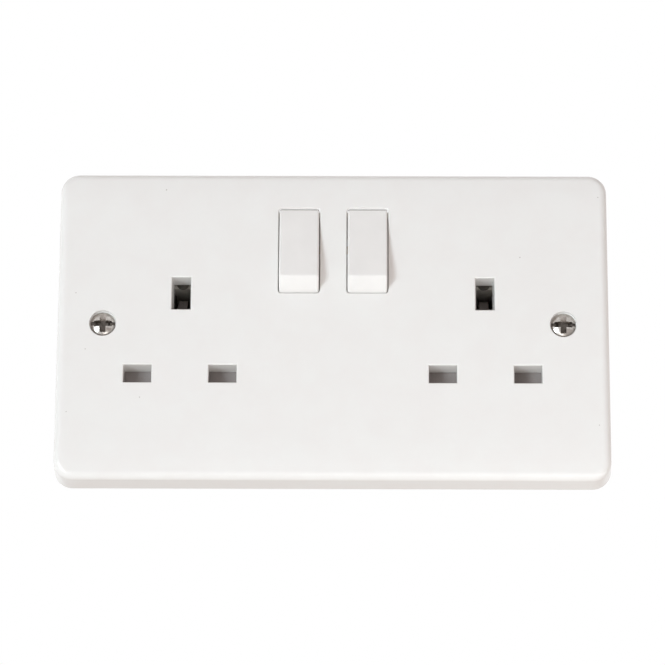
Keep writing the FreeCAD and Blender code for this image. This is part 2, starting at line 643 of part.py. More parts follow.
def moving_contact(label, side):
    # a pressed strip, dished in the middle where the plunger's nose rides, on its fulcrum
    piece = Piece(label)
    top = -bar_gap - bar_thickness
    centre = top - dish_radius
    outer = dish_radius + bar_thickness
    arm_front = top - bar_lift
    arm_back = arm_front + bar_thickness
    inner_z = root(dish_radius * dish_radius - (arm_front - centre) * (arm_front - centre))
    outer_z = root(outer * outer - (arm_back - centre) * (arm_back - centre))
    piece.pad("YZ", -bar_width / 2, bar_width / 2, [
        (arm_front, -bar_lower),
        (arm_front, -inner_z, top, 0, dish_radius),
        (arm_front, inner_z),
        (arm_front, bar_upper),
        (arm_back, bar_upper),
        (arm_back, outer_z, -bar_gap, 0, outer),
        (arm_back, -outer_z),
        (arm_back, -bar_lower),
    ])
    piece.place(side * rocker_half, fulcrum, rocker_height, bar_rock)
    return piece


def moving_tip(label, side):
    piece = Piece(label)
    arm_back = -bar_gap - bar_lift
    piece.pad("XZ", arm_back, arm_back + moving_tip_length, (0, tip_height, tip_radius))
    piece.place(side * rocker_half, fulcrum, rocker_height, bar_rock)
    return piece


# where the moving tip's far edge stands when the switch is on
tip_face = -bar_gap - bar_lift + moving_tip_length
tip_on = fulcrum + tip_face * cosine(bar_rock) + (tip_height + tip_radius) * sine(bar_rock)
fixed_front = tip_on + tip_gap
arm_front = fixed_front + fixed_tip_length
arm_height = rocker_height + tip_height


def fixed_tip(label, side):
    piece = Piece(label)
    piece.pad("XZ", fixed_front, arm_front, (side * rocker_half, arm_height, tip_radius + fixed_tip_margin))
    return piece


def terminal(piece, x):
    """A brass pillar with a bore for the wire and a threaded hole for its screw."""
    piece.pad("XZ", terminal_front, terminal_back,
              box_outline((x - terminal_half_width, x + terminal_half_width),
                          (terminal_bottom, -terminal_top)))


def terminal_holes(piece, x):
    piece.pocket("XY", terminal_bottom - over, -terminal_top - bore_end, (x, wire_depth, wire_bore))
    piece.pocket("XZ", wire_depth, terminal_back + over, (x, clamp_height, clamp_radius + screw_fit))


def clip_outline(centre, pin, front, bite, upright):
    """Section of a folded spring clip, open to the front, whose two leaves grip a pin between them."""
    mouth = pin / 2 + clip_mouth_slack
    pinch = pin / 2 - clip_pinch
    base = pin / 2 + clip_base_slack
    section = [
        (front, centre + mouth),
        (bite, centre + pinch),
        (strip_front, centre + base),
        (strip_front, centre - base),
        (bite, centre - pinch),
        (front, centre - mouth),
        (front, centre - mouth - strip),
        (bite, centre - pinch - strip),
        (strip_back, centre - base - strip),
        (strip_back, centre + base + strip),
        (bite, centre + pinch + strip),
        (front, centre + mouth + strip),
    ]
    return section if upright else [(across, depth) for depth, across in section]


def line_clip(piece, x):
    """Grips a line pin above and below."""
    section = clip_outline(line_height, line_pin_height, clip_front, clip_front + clip_bite, True)
    piece.pad("YZ", x - line_clip_width / 2, x + line_clip_width / 2, section)


def live_contact(label, side):
    # fulcrum blade, strip along the rear wall and live clip, folded from one strip
    piece = Piece(label)
    x = side * rocker_half
    clip_x = side * socket_half + pin_half
    half = bar_width / 2
    base = line_pin_height / 2 + clip_base_slack + strip
    piece.pad("XZ", strip_front, strip_back, box_outline(
        (x - half, x + half), (-live_run - run_width, rocker_height + strip)))
    near = clip_x - side * (line_clip_width / 2)
    far = near + side * riser_width
    low, high = (far, x + half) if side < 0 else (x - half, far)
    piece.pad("XZ", strip_front, strip_back, box_outline((low, high), (-live_run - run_width, -live_run)))
    riser = (far, near) if side < 0 else (near, far)
    piece.pad("XZ", strip_front, strip_back, box_outline(riser, (line_height + base / 2, -live_run)))
    blade = strip / 2
    piece.pad("YZ", x - half, x + half, [
        (fulcrum + blade, rocker_height + blade, fulcrum, rocker_height, blade),
        (fulcrum + blade, rocker_height - blade),
        (strip_front + strip / 2, rocker_height - blade),
        (strip_front + strip / 2, rocker_height + blade),
    ])
    line_clip(piece, clip_x)
    return piece


def live_busbar():
    piece = Piece("live_busbar")
    half = strip / 2
    x = line_terminal_x
    piece.pad("YZ", -half, half, [
        (web_front, -foot_top - run_width),
        (web_front, rocker_height - tip_height),
        (arm_front, arm_height - run_width / 2),
        (arm_front + strip, arm_height - run_width / 2),
        (arm_front + strip, -foot_top),
        (web_front + strip * 2, -foot_top - run_width),
    ])
    arm = rocker_half + tip_radius + fixed_tip_margin
    piece.pad("XZ", arm_front, arm_front + strip, box_outline(
        (-arm, arm), (arm_height - run_width / 2, arm_height + run_width / 2)))
    piece.pad("XZ", foot_front, foot_front + strip, box_outline(
        (-half, x + terminal_half_width - 1), (-foot_top - run_width, -foot_top)))
    piece.pad("XZ", foot_front, foot_front + strip, box_outline(
        (x - terminal_half_width + 1, x + terminal_half_width - 1), (-terminal_top - 1, -foot_top)))
    terminal(piece, x)
    terminal_holes(piece, x)
    return piece


def neutral_bar():
    piece = Piece("neutral_bar")
    half = line_clip_width / 2
    left = -socket_half - pin_half
    right = socket_half - pin_half
    base = line_pin_height / 2 + clip_base_slack + strip
    piece.pad("XZ", strip_front, strip_back, box_outline(
        (left - half, right + half), (-neutral_run - run_width, -neutral_run)))
    for x in (left, right):
        piece.pad("XZ", strip_front, strip_back, box_outline(
            (x - half, x + half), (-neutral_run - 1, line_height)))
    x = -line_terminal_x
    terminal(piece, x)
    piece.pad("XZ", strip_front, strip_back, box_outline(
        (x - terminal_half_width + 1, x + terminal_half_width - 1), (-terminal_top - 1, -neutral_run)))
    terminal_holes(piece, x)
    for x in (left, right):
        line_clip(piece, x)
    return piece


def earth_strap():
    # stamped and folded from one sheet: rings, arms, windows, clips and terminals
    piece = Piece("earth_strap")
    outer = socket_half + window_half + window_rim
    inner_edge = socket_half - window_half - window_rim
    frame_top = window_top + window_rim
    frame_bottom = -window_drop - window_rim
    piece.pad("XZ", strap_front, strap_back, box_outline(
        (over - outer, outer - over), (link_height - strap_arm, link_height + strap_arm)))
    piece.pad("XZ", strap_front, strap_back,
              box_outline((-outer, -inner_edge), (frame_bottom, frame_top)),
              box_outline((inner_edge, outer), (frame_bottom, frame_top)))
    for side in (-1, 1):
        near, far = side * (outer - over), side * fixing_half
        low, high = (near, far) if side > 0 else (far, near)
        piece.pad("XZ", strap_front, strap_back, box_outline((low, high), (-strap_arm, strap_arm)))
        piece.pad("XZ", strap_front, strap_back, (side * fixing_half, 0, ring_radius))
    piece.pad("XZ", strap_front, strap_back, box_outline(
        (-fold_width, fold_width), (-terminal_top, link_height)))
    # the window's upper edge has a rounded tab that hangs down to the pin's top
    tab_low = window_top - tab_sides
    tab_end = tab_low - tab_round + root(tab_round * tab_round - tab_half * tab_half)
    holes = []
    for side in (-1, 1):
        x = side * socket_half
        holes.append([
            (x - window_half, -window_drop),
            (x + window_half, -window_drop),
            (x + window_half, window_top),
            (x + tab_half, window_top),
            (x + tab_half, tab_low, x, tab_end, tab_round),
            (x - tab_half, tab_low),
            (x - tab_half, window_top),
            (x - window_half, window_top),
        ])
    piece.pocket("XZ", strap_front - over, strap_back + over, *holes)
    piece.pocket("XZ", strap_front - over, strap_back + over,
                 (-fixing_half, 0, neck_radius + neck_clearance),
                 (fixing_half, 0, neck_radius + neck_clearance))
    # leaves folded back from the window's sides grip the earth pin left and right
    leaf = earth_pin_height / 2 - earth_leaf_inset
    piece.pad("XY", earth_height - leaf, earth_height + leaf, *[
        clip_outline(side * socket_half, earth_pin_width, strap_front, strap_front + earth_bite, False)
        for _, side in sides])
    wide = earth_terminal_x + terminal_half_width
    piece.pad("XZ", strap_front, wire_depth, box_outline(
        (-wide, wide), (-terminal_top - 0.2, strip - terminal_top)))
    for x in (-earth_terminal_x, earth_terminal_x):
        terminal(piece, x)
    for x in (-earth_terminal_x, earth_terminal_x):
        terminal_holes(piece, x)
    return piece


def shutter(label, side):
    # blade across both line apertures, with a tongue whose ramp lies in the earth pin's way
    piece = Piece(label)
    half = pin_half + line_slot_width / 2 + shutter_margin
    blade_top = line_height + shutter_top
    piece.pad("XZ", shutter_front, strap_back - shutter_gap, box_outline(
        (-half, half), (line_height - shutter_bottom, blade_top)))
    slope_back = shutter_front + ramp_depth
    shift = tongue_thickness * math.sqrt(2)
    tongue_back = shutter_front + tongue_thickness
    piece.pad("YZ", -tongue_width / 2, tongue_width / 2, [
        (shutter_front, blade_top - over),
        (shutter_front, ramp_low),
        (slope_back, ramp_low + ramp_depth),
        (ramp_end, ramp_low + ramp_depth),
        (ramp_end, ramp_low + ramp_end - shutter_front - shift),
        (tongue_back, ramp_low + tongue_thickness - shift),
        (tongue_back, blade_top - over),
    ])
    piece.place(side * socket_half)
    return piece


def coil(label, radius, wire, turns, length, place):
    # open coil spring along its own Z
    helix = Part.makeHelix(length / turns, length, radius)
    section = Part.Wire([Part.makeCircle(wire / 2, Vector(radius, 0, 0), Vector(0, 1, 0))])
    shape = Part.Wire(helix).makePipeShell([section], True, True)
    solid = doc.addObject("Part::Feature", label)
    solid.Shape = shape
    solid.Label = label
    solid.Placement = place
    pieces.append(solid)
    return solid


def rocker_spring(label, side):
    bore = plunger_radius.value + plunger_clearance.value
    wire = spring_wire.value
    slack = spring_slack.value
    chord = math.sqrt(rocker_radius.value ** 2 - pivot_depth.value ** 2)
    tilt = math.radians(rocker_tilt.value)
    front = -(pivot_depth.value * math.cos(tilt) + chord * math.sin(tilt))
    seat = front + rocker_wall.value + tube_seat.value
    start = seat + wire / 2 + coil_seat.value
    length = plunger_start.value - wire / 2 - coil_seat.value - start
    turned = Rotation(Vector(1, 0, 0), -rocker_tilt.value)
    along = turned.multiply(Rotation(Vector(0, 0, 1), Vector(0, 1, 0)))
    base = Vector(side * rocker_half.value, pivot.value, rocker_height.value)
    base = base + turned.multVec(Vector(0, start, 0))
    coil(label, bore - wire / 2 - slack, wire, spring_turns.value, length, Placement(base, along))


def shutter_spring(label, side):
    wire = return_wire.value
    low = wire / 2 + coil_seat.value - return_seat.value
    high = line_height.value - shutter_bottom.value - wire / 2 - coil_seat.value
    base = Vector(side * socket_half.value, spring_level.value, low)
    coil(label, return_radius.value, wire, return_turns.value, high - low, Placement(base, Rotation()))


def rear_moulding():
    piece = Piece("rear_moulding")
    front = -deck_front
    wide = moulding_half_width
    high = moulding_half_height
    notch = fixing_half - lug_room
    piece.pad("XZ", front, moulding_depth, [
        (-wide, -high), (wide, -high), (wide, -lug_notch_half), (notch, -lug_notch_half),
        (notch, lug_notch_half), (wide, lug_notch_half), (wide, high), (-wide, high),
        (-wide, lug_notch_half), (-notch, lug_notch_half), (-notch, -lug_notch_half),
        (-wide, -lug_notch_half)])
    piece.fillet(moulding_corner,
                 lambda b: b.YLength > moulding_depth.value and abs(b.ZMax) > high.value - 0.01)
    gap = pocket_slack
    # switch chamber and the busbar's slot below it
    chamber = rocker_half + rocker_width / 2 + gap * 2
    low = rocker_height - rocker_radius - gap
    piece.pocket("XZ", front, floor_inner, box_outline((-chamber, chamber), (low, high - chamber_wall)))
    piece.pocket("XZ", front, floor_inner, box_outline(
        (-strip / 2 - gap, strip / 2 + gap), (-foot_top - run_width - gap, low + over)))
    # line clips and earth clips
    line_half = line_pin_height / 2 + clip_mouth_slack + strip + gap
    wide_half = line_clip_width / 2 + gap * 2
    piece.pocket("XZ", front, floor_inner, *[
        box_outline((x - wide_half, x + wide_half), (line_height - line_half, line_height + line_half))
        for x in line_pins])
    earth_half = earth_pin_width / 2 + clip_mouth_slack + strip + gap
    pin_room = earth_pin_height / 2 + gap
    for _, side in sides:
        x = side * socket_half
        piece.pocket("XZ", front, floor_inner, box_outline(
            (x - earth_half, x + earth_half), (earth_height - pin_room, earth_height + pin_room)))
        piece.pocket("XZ", front, ramp_end + gap, box_outline(
            (x - tongue_width, x + tongue_width), (-window_drop, earth_height)))
        # core-outs, with a rib between them, keep the walls even
        outer = side * (post_x - post_radius - relief_wall)
        inside = side * (chamber + relief_wall)
        rib = (outer + inside) / 2
        top = high - relief_wall
        shelf = earth_height + pin_room + relief_wall
        for near, far in ((inside, rib - side * (relief_wall / 2)), (rib + side * (relief_wall / 2), outer)):
            low_x, high_x = (near, far) if side > 0 else (far, near)
            piece.pocket("XZ", front, floor_inner, box_outline((low_x, high_x), (shelf, top)))
        beside = x - side * (earth_half + relief_wall)
        low_x, high_x = (inside, beside) if side > 0 else (beside, inside)
        piece.pocket("XZ", front, floor_inner, box_outline(
            (low_x, high_x), (relief_wall - live_run, shelf - relief_wall)))
    # load strips
    load_top = gap - live_run
    load_bottom = -live_run - run_width - gap
    for _, side in sides:
        x = side * rocker_half
        half = bar_width / 2 + gap
        clip_x = side * socket_half + pin_half
        near = clip_x - side * (line_clip_width / 2)
        end = near + side * (riser_width + gap)
        edge = x - side * half
        a, b = (end, edge) if side < 0 else (edge, end)
        piece.pocket("XZ", front, floor_inner, box_outline(
            (x - half, x + half), (load_top - over, low + over)))
        piece.pocket("XZ", front, floor_inner, box_outline((a, b), (load_bottom, load_top)))
        inside = near - side * gap
        riser = (end, inside) if side < 0 else (inside, end)
        piece.pocket("XZ", front, floor_inner, box_outline(riser, (line_height, load_bottom + over)))
    # neutral strip
    left = -socket_half - pin_half
    right = socket_half - pin_half
    reach = line_clip_width / 2 + gap
    bottom = -neutral_run - run_width - gap
    piece.pocket("XZ", front, floor_inner, box_outline(
        (left - reach, right + reach), (bottom, gap - neutral_run)))
    for x in (left, right):
        piece.pocket("XZ", front, floor_inner, box_outline(
            (x - reach, x + reach), (-neutral_run, line_height)))
    # terminal chambers with screw access from the rear and wire entries from below
    room = terminal_half_width + gap
    pillar = terminal_bottom - gap
    for x in (-line_terminal_x, line_terminal_x):
        piece.pocket("XZ", front, floor_inner, box_outline((x - room, x + room), (pillar, bottom + over)))
    piece.pocket("XZ", front, floor_inner, box_outline(
        (-earth_terminal_x - room, earth_terminal_x + room), (pillar, strip + gap - terminal_top)))
    piece.pocket("XZ", front, foot_front + strip + gap, box_outline(
        (-strip / 2 - gap, line_terminal_x + room), (-foot_top - run_width - gap, gap - foot_top)))
    piece.pocket("XZ", front, foot_front + strip + gap, box_outline(
        (line_terminal_x - room, line_terminal_x + room), (-terminal_top - over, -foot_top - over)))
    entries = [-line_terminal_x, -earth_terminal_x, earth_terminal_x, line_terminal_x]
    piece.pocket("XZ", floor_inner - over, moulding_depth + over, *[
        (x, clamp_height, clamp_radius + gap) for x in entries])
    piece.pocket("XY", -high - over, pillar + over, *[(x, wire_depth, wire_bore + gap) for x in entries])
    # grooves for the shutter springs
    room = return_radius + return_wire / 2 + gap
    piece.pocket("XY", -return_seat, line_height - shutter_bottom, *[
        (side * socket_half, spring_level, room) for _, side in sides])
    # holes and head seats for the assembly screws
    corners = [(x * post_x, z) for x in (-1, 1) for z in (post_top, -post_bottom)]
    piece.pocket("XZ", front - over, moulding_depth + over, *[
        (x, z, assembly_shank + gap) for x, z in corners])
    piece.pocket("XZ", assembly_seat_level, moulding_depth + over, *[
        (x, z, assembly_head + gap) for x, z in corners])
    return piece


def fixing_screw(label, side):
    piece = Piece(label)
    rim = face + head_recess
    dome = (head_radius * head_radius + head_rise * head_rise) / (head_rise * 2)
    cone_end = rim + head_edge + head_radius - neck_radius
    half_run = head_radius / 2
    mid_rise = head_rise.value - (dome.value - math.sqrt(dome.value ** 2 - half_run.value ** 2))
    piece.turn("Revolution", "XY", 0, "V_Axis", [
        (0, rim - head_rise, half_run, rim - mid_rise, dome),
        (head_radius, rim),
        (head_radius, rim + head_edge),
        (neck_radius, cone_end),
        (neck_radius, thread_start),
        (thread_radius, thread_start),
        (thread_radius, screw_end - thread_point),
        (thread_radius - thread_point, screw_end),
        (0, screw_end),
    ])
    top = rim - head_rise
    side_far = head_radius + over
    piece.pocket("XZ", top - over, top + slot_depth, box_outline(
        (-side_far, side_far), (-slot_width, slot_width)))
    w = cross_width
    r = cross_length
    piece.pocket("XZ", top - over, top + cross_depth, [
        (-r, -w), (-w, -w), (-w, -r), (w, -r), (w, -w), (r, -w),
        (r, w), (w, w), (w, r), (-w, r), (-w, w), (-r, w)])
    piece.place(side * fixing_half)
    return piece


def terminal_screw(label, x):
    piece = Piece(label)
    end = clamp_start + clamp_length
    piece.turn("Revolution", "XY", 0, "V_Axis", [
        (0, clamp_start),
        (clamp_radius - clamp_chamfer, clamp_start),
        (clamp_radius, clamp_start + clamp_chamfer),
        (clamp_radius, end),
        (0, end),
    ])
    side_far = clamp_radius + over
    piece.pocket("XZ", end - clamp_slot, end + over, box_outline(
        (-side_far, side_far), (-driver_slot / 2, driver_slot / 2)))
    piece.place(x, None, clamp_height)
    return piece


def assembly_screws():
    # four identical screws in one node, so one is turned and then set at each corner
    seat = assembly_seat_level.value
    radius = assembly_head.value
    rear = seat + assembly_head_height.value
    into = Vector(0, -1, 0)
    straight = assembly_length.value - assembly_point.value
    shank = Part.makeCylinder(assembly_shank.value, straight, Vector(0, seat, 0), into)
    point = Part.makeCone(assembly_shank.value, 0, assembly_point.value, Vector(0, seat - straight, 0), into)
    head = Part.makeCylinder(radius, assembly_head_height.value, Vector(0, seat, 0), -into)
    head = head.makeFillet(assembly_edge.value, [e for e in head.Edges if on_plane(e.BoundBox, "y", rear)])
    slot = Part.makeBox(radius * 2, assembly_slot.value, driver_slot.value,
                        Vector(-radius, rear - assembly_slot.value, -driver_slot.value / 2))
    screw = head.fuse(shank).fuse(point).cut(slot).removeSplitter()
    copies = []
    for x in (-1, 1):
        for z in (post_top.value, -post_bottom.value):
            copy = screw.copy()
            copy.translate(Vector(x * post_x.value, 0, z))
            copies.append(copy)
    group = doc.addObject("Part::Feature", "assembly_screws")
    group.Shape = Part.makeCompound(copies)
    group.Label = "assembly_screws"
    pieces.append(group)


front_plate()
rear_moulding()
live_busbar()
neutral_bar()
earth_strap()
assembly_screws()
for name, side in sides:
    rocker("rocker_" + name, side)
    plunger("rocker_plunger_" + name, side)
    rocker_spring("rocker_spring_" + name, side)
    moving_contact("moving_contact_" + name, side)
    moving_tip("moving_tip_" + name, side)
    fixed_tip("fixed_tip_" + name, side)
    live_contact("live_contact_" + name, side)
    shutter("shutter_" + name, side)
    shutter_spring("shutter_spring_" + name, side)
    fixing_screw("fixing_screw_" + name, side)
    terminal_screw("terminal_screw_earth_" + name, side * earth_terminal_x)
terminal_screw("terminal_screw_live", line_terminal_x)
terminal_screw("terminal_screw_neutral", -line_terminal_x)

doc.recompute()
for item in doc.Objects:
    if "Invalid" in item.State or "Error" in item.State:
        raise RuntimeError("%s did not build" % item.Label)
os.makedirs("parts", exist_ok=True)
for piece in pieces:
    if piece.Shape.isNull() or not piece.Shape.isValid():
        raise RuntimeError("%s has no valid shape" % piece.Label)
    print(piece.Label, len(piece.Shape.Solids), round(piece.Shape.Volume, 1))
    piece.Shape.exportStep("parts/%s.step" % piece.Label)
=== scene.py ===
import math
import random
import bmesh
import bpy
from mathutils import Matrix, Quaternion, Vector


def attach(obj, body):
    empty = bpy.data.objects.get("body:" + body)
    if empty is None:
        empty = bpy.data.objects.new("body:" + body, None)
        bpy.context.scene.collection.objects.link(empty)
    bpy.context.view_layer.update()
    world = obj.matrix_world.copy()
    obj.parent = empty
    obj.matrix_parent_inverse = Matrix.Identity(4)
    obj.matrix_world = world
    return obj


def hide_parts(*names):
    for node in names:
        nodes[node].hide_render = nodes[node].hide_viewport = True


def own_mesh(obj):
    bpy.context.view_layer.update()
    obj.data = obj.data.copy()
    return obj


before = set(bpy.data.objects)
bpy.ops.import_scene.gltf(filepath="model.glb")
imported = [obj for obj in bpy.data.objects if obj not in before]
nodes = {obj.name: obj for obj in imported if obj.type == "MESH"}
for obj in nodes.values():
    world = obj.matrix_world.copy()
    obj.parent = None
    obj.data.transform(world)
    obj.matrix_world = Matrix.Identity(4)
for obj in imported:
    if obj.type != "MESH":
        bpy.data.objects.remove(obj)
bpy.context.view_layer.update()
MM = 0.001

# Camera. The outlet is seen from a little below its middle with a long lens,
# so its lower edge shows and the far side hardly narrows.
camera = bpy.data.objects.new("camera", bpy.data.cameras.new("camera"))
bpy.context.scene.collection.objects.link(camera)
bpy.context.scene.camera = camera
camera.data.sensor_width = 36
camera.data.lens = 206.9
camera.data.clip_start = 0.05
camera.data.clip_end = 20
aimed_at = Vector((-0.177, 0, 0.685)) * MM
distance = 1.0088
tilt, yaw, roll = math.radians(19.33), -0.007, 0.005
look = Vector((math.sin(yaw) * math.cos(tilt), math.cos(yaw) * math.cos(tilt), math.sin(tilt)))
camera.location = aimed_at - look * distance
camera.rotation_mode = "QUATERNION"
camera.rotation_quaternion = look.to_track_quat("-Z", "Y") @ Quaternion((0, 0, 1), roll)


# Front plate. One compression moulding in white urea, pressed in a polished mould: its face is
# glossy and nearly even in colour, with the slight waviness of a moulded surface.
def linear(code):
    """sRGB hex to the linear colour that a socket takes."""
    parts = [int(code[i:i + 2], 16) / 255 for i in (1, 3, 5)]
    opaque = (1,)
    return tuple(c / 12.92 if c <= 0.04045 else ((c + 0.055) / 1.055) ** 2.4
                 for c in parts) + opaque


def add(tree, kind, sockets=None, **settings):
    """Adds a node. A socket's value is a number or colour, or the output that feeds it."""
    made = tree.nodes.new(kind)
    for name, value in settings.items():
        setattr(made, name, value)
    for name, value in (sockets or {}).items():
        if isinstance(value, bpy.types.NodeSocket):
            tree.links.new(value, made.inputs[name])
        else:
            made.inputs[name].default_value = value
    return made


def blank(name):
    """A material's tree with its shader linked up, and the place of each point in metres."""
    material = bpy.data.materials.new(name)
    material.use_nodes = True
    tree = material.node_tree
    tree.nodes.clear()
    shader = tree.nodes.new("ShaderNodeBsdfPrincipled")
    tree.links.new(shader.outputs[0], tree.nodes.new("ShaderNodeOutputMaterial").inputs[0])
    place = add(tree, "ShaderNodeTexCoord").outputs["Object"]
    return material, tree, shader, place


def per_mm(millimetres):
    """Scale of a noise whose features are that far apart."""
    return 1 / (millimetres * MM)


def moulded_urea(name, light, dark, roughness):
    # Hard thermoset: IOR 1.55, a faint cloudiness 7 mm across where the powder flowed, and
    # ripples 1.5 mm apart that soften the reflections without dulling them.
    material, tree, shader, place = blank(name)
    cloud = add(tree, "ShaderNodeTexNoise", {
        "Vector": place, "Scale": per_mm(7), "Detail": 3.0, "Roughness": 0.5})
    tone = add(tree, "ShaderNodeValToRGB", {"Fac": cloud.outputs["Fac"]})
    tone.color_ramp.elements[0].position = 0.35
    tone.color_ramp.elements[0].color = linear(dark)
    tone.color_ramp.elements[1].position = 0.65
    tone.color_ramp.elements[1].color = linear(light)
    tree.links.new(tone.outputs[0], shader.inputs["Base Color"])
    # handling leaves patches 12 mm across that are a touch less bright
    rub = add(tree, "ShaderNodeTexNoise", {
        "Vector": place, "Scale": per_mm(12), "Detail": 4.0, "Roughness": 0.65})
    gloss = add(tree, "ShaderNodeMapRange", {
        "Value": rub.outputs["Fac"], "From Min": 0.3, "From Max": 0.7,
        "To Min": roughness - 0.02, "To Max": roughness + 0.03})
    tree.links.new(gloss.outputs[0], shader.inputs["Roughness"])
    ripple = add(tree, "ShaderNodeTexNoise", {
        "Vector": place, "Scale": per_mm(1.5), "Detail": 1.0})
    bump = add(tree, "ShaderNodeBump", {
        "Height": ripple.outputs["Fac"], "Strength": 0.12, "Distance": 0.02 * MM})
    tree.links.new(bump.outputs[0], shader.inputs["Normal"])
    shader.inputs["IOR"].default_value = 1.55
    return material


def dress(material, *names):
    """Gives pieces that keep their own shape a material."""
    for name in names:
        nodes[name].data.materials.clear()
        nodes[name].data.materials.append(material)


dress(moulded_urea("plate_white_urea", "#EBE9E6", "#EAE7E4", 0.2), "front_plate")

# Rockers. Moulded in the same white urea as the plate, in their own mould, so they are a shade
# warmer. Each turns on two trunnions and stands off, its lower end proud of the plate.
dress(moulded_urea("rocker_white_urea", "#EEEBE8", "#EBE8E5", 0.22),
      "rocker_left", "rocker_right")

# Shutters. Thin grey slides moulded in nylon behind the pin apertures: satin, with a fine
# spark-eroded grain, so only their shade shows from the front.
shutter_nylon, tree, shader, place = blank("shutter_grey_nylon")
grain = add(tree, "ShaderNodeTexNoise", {"Vector": place, "Scale": per_mm(0.25), "Detail": 2.0})
shade = add(tree, "ShaderNodeValToRGB", {"Fac": grain.outputs["Fac"]})
shade.color_ramp.elements[0].position = 0.3
shade.color_ramp.elements[0].color = linear("#8C8482")
shade.color_ramp.elements[1].position = 0.7
shade.color_ramp.elements[1].color = linear("#958D8A")
tree.links.new(shade.outputs[0], shader.inputs["Base Color"])
bump = add(tree, "ShaderNodeBump", {
    "Height": grain.outputs["Fac"], "Strength": 0.3, "Distance": 0.02 * MM})
tree.links.new(bump.outputs[0], shader.inputs["Normal"])
shader.inputs["Roughness"].default_value = 0.48
shader.inputs["IOR"].default_value = 1.53
dress(shutter_nylon, "shutter_left", "shutter_right")


# Springs. Wound from drawn spring steel with closed ends, two behind the shutters and one in
# each rocker. Drawing leaves fine streaks along the wire and a dull grey shine.
def finish_mesh(name, mesh_data, material, body, sharp=35):
    """Shades a new piece, gives it its material and sets it on the body that carries it."""
    mesh_data.set_sharp_from_angle(angle=math.radians(sharp))
    piece = bpy.data.objects.new(name, mesh_data)
    bpy.context.scene.collection.objects.link(piece)
    mesh_data.materials.append(material)
    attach(piece, body)
    return piece


def smooth_mesh(name, points, faces):
    """A mesh from its points and faces, shaded smooth."""
    made = bpy.data.meshes.new(name)
    made.from_pydata([tuple(p) for p in points], [], faces)
    made.polygons.foreach_set("use_smooth", [True] * len(made.polygons))
    made.update()
    return made


def wound(name, base, along, radius, wire, turns, length):
    """Coil of round wire whose end turns lie closed against the next."""
    per_turn, round_wire = 28, 12
    closed = 1.0
    # a hair more than the wire, so that closed turns don't cut into each other
    closed_pitch = wire * 1.04
    open_pitch = (length - wire - 2 * closed * closed_pitch) / (turns - 2 * closed)
    turn_to = Vector((0, 0, 1)).rotation_difference(along)
    points, faces = [], []
    steps = int(turns * per_turn)
    for i in range(steps + 1):
        t = i / per_turn
        ends = min(t, closed) + max(0, t - (turns - closed))
        height = ends * closed_pitch + (t - ends) * open_pitch + wire / 2
        angle = 2 * math.pi * t
        out = Vector((math.cos(angle), math.sin(angle), 0))
        for k in range(round_wire):
            spin = 2 * math.pi * k / round_wire
            rise = Vector((0, 0, height + math.sin(spin) * wire / 2))
            points.append(base + turn_to @ (out * (radius + math.cos(spin) * wire / 2) + rise))
    for i in range(steps):
        for k in range(round_wire):
            a, b = i * round_wire + k, i * round_wire + (k + 1) % round_wire
            faces.append((a, b, b + round_wire, a + round_wire))
    faces.append(tuple(reversed(range(round_wire))))
    faces.append(tuple(range(steps * round_wire, (steps + 1) * round_wire)))
    return smooth_mesh(name, points, faces)


drawn_wire, tree, shader, place = blank("drawn_spring_wire")
streak = add(tree, "ShaderNodeTexNoise", {
    "Vector": place, "Scale": per_mm(0.3), "Detail": 3.0, "Distortion": 0.6})
tint = add(tree, "ShaderNodeValToRGB", {"Fac": streak.outputs["Fac"]})
tint.color_ramp.elements[0].position = 0.3
tint.color_ramp.elements[0].color = linear("#7E7D7B")
tint.color_ramp.elements[1].position = 0.75
tint.color_ramp.elements[1].color = linear("#A3A2A0")
tree.links.new(tint.outputs[0], shader.inputs["Base Color"])
bump = add(tree, "ShaderNodeBump", {
    "Height": streak.outputs["Fac"], "Strength": 0.2, "Distance": 0.01 * MM})
tree.links.new(bump.outputs[0], shader.inputs["Normal"])
shader.inputs["Metallic"].default_value = 1
shader.inputs["Roughness"].default_value = 0.34

side_x = {"left": -1, "right": 1}
socket_x, rocker_x = 39.85 * MM, 9 * MM
pivot = Vector((0, -2, 20.4)) * MM
off_tilt = Quaternion((1, 0, 0), math.radians(-10.1))
plunger_way = off_tilt @ Vector((0, 1, 0))
# radius to the middle of the wire, thickness of the wire, and turns
rocker_winding = (1.56 * MM, 0.4 * MM, 6.5)
shutter_winding = (1.6 * MM, 0.45 * MM, 8)
# where the springs' two ends sit, along the plunger from the pivot, and upwards
spring_seat, spring_end = -6.765 * MM, 0.38 * MM
shutter_seat, shutter_foot = -30.48 * MM, -17.24 * MM
shutter_level = -1.475 * MM
for side, sign in side_x.items():
    base = pivot + Vector((sign * rocker_x, 0, 0)) + plunger_way * spring_seat
    coil = wound("rocker_coil_" + side, base, plunger_way, *rocker_winding,
                 spring_end - spring_seat)
    coil = finish_mesh("rocker_coil_" + side, coil, drawn_wire, "switch_" + side)
    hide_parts("rocker_spring_" + side)
    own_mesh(coil)
    base = Vector((sign * socket_x, shutter_level, shutter_seat))
    coil = wound("shutter_coil_" + side, base, Vector((0, 0, 1)), *shutter_winding,
                 shutter_foot - shutter_seat)
    coil = finish_mesh("shutter_coil_" + side, coil, drawn_wire, "outlet")
    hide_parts("shutter_spring_" + side)
    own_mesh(coil)

